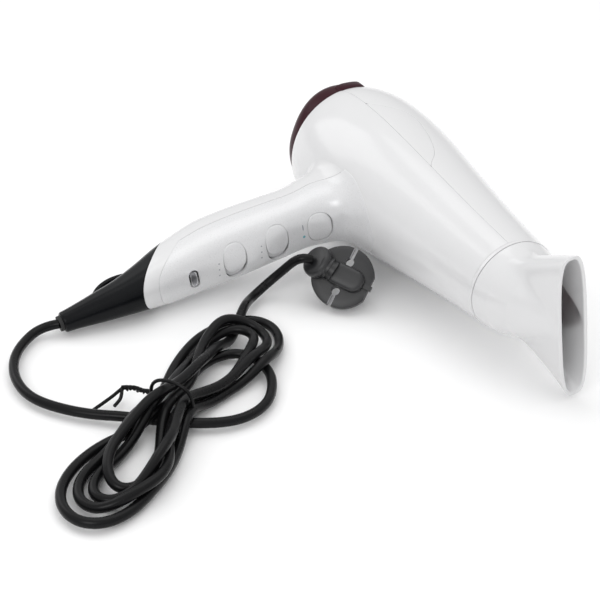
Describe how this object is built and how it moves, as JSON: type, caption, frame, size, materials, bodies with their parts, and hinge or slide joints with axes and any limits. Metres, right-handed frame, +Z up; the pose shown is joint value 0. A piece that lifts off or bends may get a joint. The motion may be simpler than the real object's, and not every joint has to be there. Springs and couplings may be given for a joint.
{
  "type": "hair dryer",
  "caption": "Hand-held hair dryer with turning flat nozzle, slotted rear intake, handle switches, hanging loop, mains lead in a tied hank and earthed plug.",
  "frame": {"origin": "centre of the dryer's own box, without its lead and plug, on the surface that it lies on", "axes": "+X the way the air leaves along the barrel, handle towards -Y and sloping down to the surface, +Z up from the surface"},
  "size_m": [0.2685, 0.3237, 0.094],
  "materials": {
    "white_gloss": "gloss white moulding",
    "pearl_panel": "pearl satin",
    "black_gloss": "gloss black",
    "burgundy": "dark burgundy, slightly translucent",
    "bright_metal": "bright plated",
    "filter_mesh": "woven mesh",
    "grey_plastic": "moulded",
    "damper_rubber": "soft black",
    "fan_plastic": "natural nylon",
    "steel": "plain",
    "bronze": "plain",
    "magnet": "ferrite",
    "black_parts": "plain",
    "mica": "mica sheet",
    "heater_wire": "heat-darkened",
    "brown_resin": "resin",
    "board_green": "coated board",
    "filter_blue": "dipped",
    "lead_brown": "insulated lead",
    "lead_red": "insulated lead",
    "cord_black": "smooth black sheath",
    "plug_black": "charcoal moulded"
  },
  "bodies": {
    "housing": {"upper_shell": "white_gloss", "lower_shell": "white_gloss", "grip_panel": "pearl_panel", "end_sleeve": "black_gloss", "badge_ring": "bright_metal", "air_duct": "grey_plastic", "duct_damper": "damper_rubber", "motor_bearings": "bronze", "motor_can": "steel", "motor_magnets": "magnet", "motor_mount": "grey_plastic", "diode_bridge": "black_parts", "mica_tube": "mica", "mica_cross": "mica", "heater_coils": "heater_wire", "thermostat": "brown_resin", "thermal_fuse": "black_parts", "outlet_neck": "burgundy", "outlet_grille": "burgundy", "switch_board": "board_green", "speed_switch": "black_parts", "heat_switch": "black_parts", "cool_spring": "steel", "cool_switch": "black_parts", "noise_filter": "filter_blue", "cord_clamp": "fan_plastic", "clamp_screws": "steel", "shell_screws": "steel", "cord_bush": "damper_rubber", "inner_lead": "cord_black", "supply_leads": "lead_brown", "heater_leads": "lead_red", "cord_lead_in": "cord_black", "cord_hank": "cord_black", "cord_lead_out": "cord_black", "twist_tie": "cord_black", "plug_base": "plug_black", "plug_boot": "plug_black", "plug_pins": "bright_metal", "earth_clips": "bronze"},
    "nozzle_collar": {"nozzle_ring": "white_gloss"},
    "nozzle": {"nozzle": "white_gloss"},
    "fan_set": {"fan": "fan_plastic", "motor_shaft": "steel"},
    "intake": {"rear_cover": "burgundy", "dust_filter": "filter_mesh"},
    "speed_cap": {"speed_cap": "pearl_panel"},
    "heat_cap": {"heat_cap": "pearl_panel"},
    "cool_button": {"cool_button": "pearl_panel"}
  },
  "joints": [
    {"name": "fan_spin", "type": "hinge", "parent": "housing", "child": "fan_set", "pos_m": [-0.1095, 0.08771, 0.046], "axis": [1, 0, 0], "continuous": true},
    {"name": "nozzle_pull", "type": "slide", "parent": "housing", "child": "nozzle_collar", "axis": [1, 0, 0], "range_m": [0, 0.016]},
    {"name": "nozzle_turn", "type": "hinge", "parent": "nozzle_collar", "child": "nozzle", "pos_m": [-0.1095, 0.08771, 0.046], "axis": [1, 0, 0], "continuous": true},
    {"name": "intake_pull", "type": "slide", "parent": "housing", "child": "intake", "axis": [-1, 0, 0], "range_m": [0, 0.016]},
    {"name": "speed_slide", "type": "hinge", "parent": "housing", "child": "speed_cap", "pos_m": [-0.05102, -0.02721, 0.02524], "axis": [-0.0349, 0.9835, 0.1777], "range_deg": [0, 18]},
    {"name": "heat_slide", "type": "hinge", "parent": "housing", "child": "heat_cap", "pos_m": [-0.05201, 0.00082, 0.0303], "axis": [-0.0349, 0.9835, 0.1777], "range_deg": [0, 18]},
    {"name": "cool_press", "type": "slide", "parent": "housing", "child": "cool_button", "axis": [-0.9994, -0.0343, -0.0062], "range_m": [0, 0.0025], "stiffness_N_per_m": 300, "deforming": ["cool_spring"]}
  ]
}
